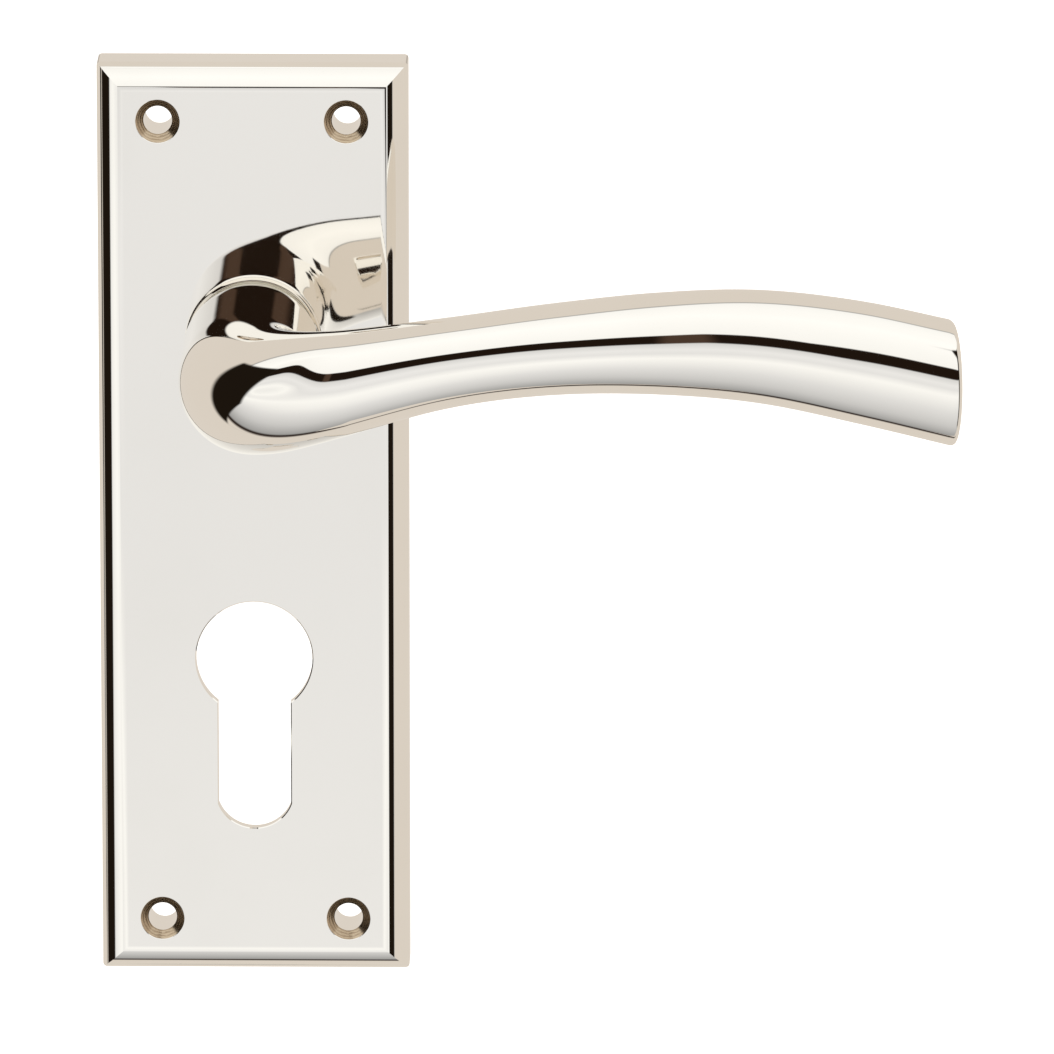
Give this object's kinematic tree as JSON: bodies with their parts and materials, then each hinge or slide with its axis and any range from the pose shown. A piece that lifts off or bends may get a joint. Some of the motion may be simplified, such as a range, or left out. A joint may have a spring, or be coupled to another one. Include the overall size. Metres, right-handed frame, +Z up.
{
  "type": "lever door handle on backplate",
  "caption": "Arched lever handle on a tall rectangular backplate with a euro-profile cylinder cut-out, countersunk fixing holes, a square spindle and a sprung return.",
  "frame": {"origin": "where the spindle's axis meets the face of the door", "axes": "+Z up the plate, +X towards the lever's tip, +Y into the door; the front of the handle looks along -Y"},
  "size_m": [0.1287, 0.1232, 0.14],
  "materials": {
    "plate_nickel": "polished nickel, mirror bright with a warm tint",
    "lever_nickel": "polished nickel, mirror bright with a warm tint",
    "nylon": "natural moulded nylon",
    "dark_nylon": "black moulded nylon",
    "spring_steel": "oiled spring steel",
    "zinc_plate": "bright zinc-plated pressing",
    "screw_zinc": "zinc-plated screw",
    "spindle_steel": "drawn steel bar",
    "black_steel": "black oxide steel",
    "washer_steel": "plain steel washer",
    "cam_steel": "stamped steel"
  },
  "bodies": {
    "plate": {"backplate": "plate_nickel", "bearing_bush": "nylon", "spring_housing": "dark_nylon", "return_spring": "spring_steel", "rear_cover": "zinc_plate", "cover_screw_1": "screw_zinc", "cover_screw_2": "screw_zinc", "cover_screw_3": "screw_zinc", "cover_screw_4": "screw_zinc"},
    "lever": {"lever_handle": "lever_nickel", "spindle": "spindle_steel", "grub_screw": "black_steel", "thrust_washer": "washer_steel", "wave_washer": "spring_steel", "circlip": "black_steel", "drive_cam": "cam_steel"}
  },
  "joints": [
    {"name": "lever_turn", "type": "hinge", "parent": "plate", "child": "lever", "pos_m": [0, 0, 0], "axis": [0, 1, 0], "range_deg": [0, 45], "stiffness_Nm_per_rad": 0.3, "springref_deg": -57.3, "deforming": ["return_spring"]}
  ]
}
